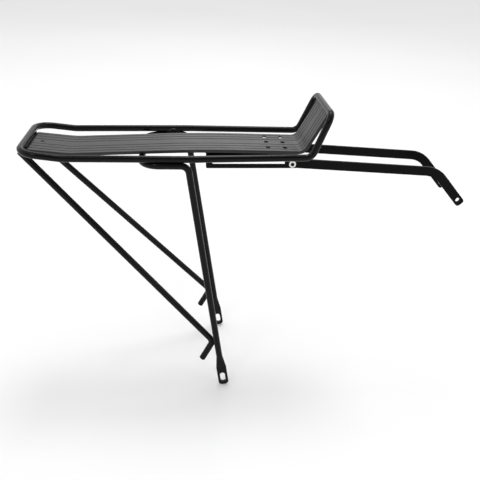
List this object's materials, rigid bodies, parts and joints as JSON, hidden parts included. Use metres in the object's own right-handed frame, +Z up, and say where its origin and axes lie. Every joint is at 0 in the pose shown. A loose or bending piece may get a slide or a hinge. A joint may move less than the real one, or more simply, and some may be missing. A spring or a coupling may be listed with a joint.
{
  "type": "bicycle rear rack",
  "caption": "Rod-framed rear rack with a ribbed deck, raised front hoop, welded struts with hook pegs, slotted feet and two sliding, tilting front stays.",
  "frame": {"origin": "midpoint between the two dropout eyelet slots, on the rack's plane of symmetry", "axes": "+X towards the front of the bicycle, +Y to its left, +Z up"},
  "size_m": [0.5672, 0.1568, 0.3825],
  "materials": {
    "black_coat": "satin black powder coat",
    "deck_coat": "satin black coat on a ribbed aluminium plate",
    "bright_steel": "bright plated socket head",
    "zinc_steel": "zinc plated"
  },
  "bodies": {
    "frame": {"rail_loop": "black_coat", "deck": "deck_coat", "leg_frame": "black_coat", "left_strut": "black_coat", "right_strut": "black_coat", "stay_channel": "black_coat", "leg_rail_welds": "black_coat", "strut_top_welds": "black_coat", "strut_leg_welds": "black_coat", "deck_end_welds": "black_coat", "cross_bar_welds": "black_coat", "channel_pads": "black_coat"},
    "left_carriage": {"left_stay_screw": "bright_steel", "left_stay_washer": "zinc_steel", "left_stay_nut": "zinc_steel"},
    "left_stay": {"left_stay": "black_coat"},
    "right_carriage": {"right_stay_screw": "bright_steel", "right_stay_washer": "zinc_steel", "right_stay_nut": "zinc_steel"},
    "right_stay": {"right_stay": "black_coat"}
  },
  "joints": [
    {"name": "left_stay_slide", "type": "slide", "parent": "frame", "child": "left_carriage", "axis": [1, 0, 0], "range_m": [-0.0975, 0]},
    {"name": "left_stay_tilt", "type": "hinge", "parent": "left_carriage", "child": "left_stay", "pos_m": [0.0845, 0.0317, 0.2994], "axis": [0, 1, 0], "range_deg": [-3, 40]},
    {"name": "right_stay_slide", "type": "slide", "parent": "frame", "child": "right_carriage", "axis": [1, 0, 0], "range_m": [-0.0975, 0]},
    {"name": "right_stay_tilt", "type": "hinge", "parent": "right_carriage", "child": "right_stay", "pos_m": [0.0845, -0.0317, 0.2994], "axis": [0, 1, 0], "range_deg": [-3, 40]}
  ]
}
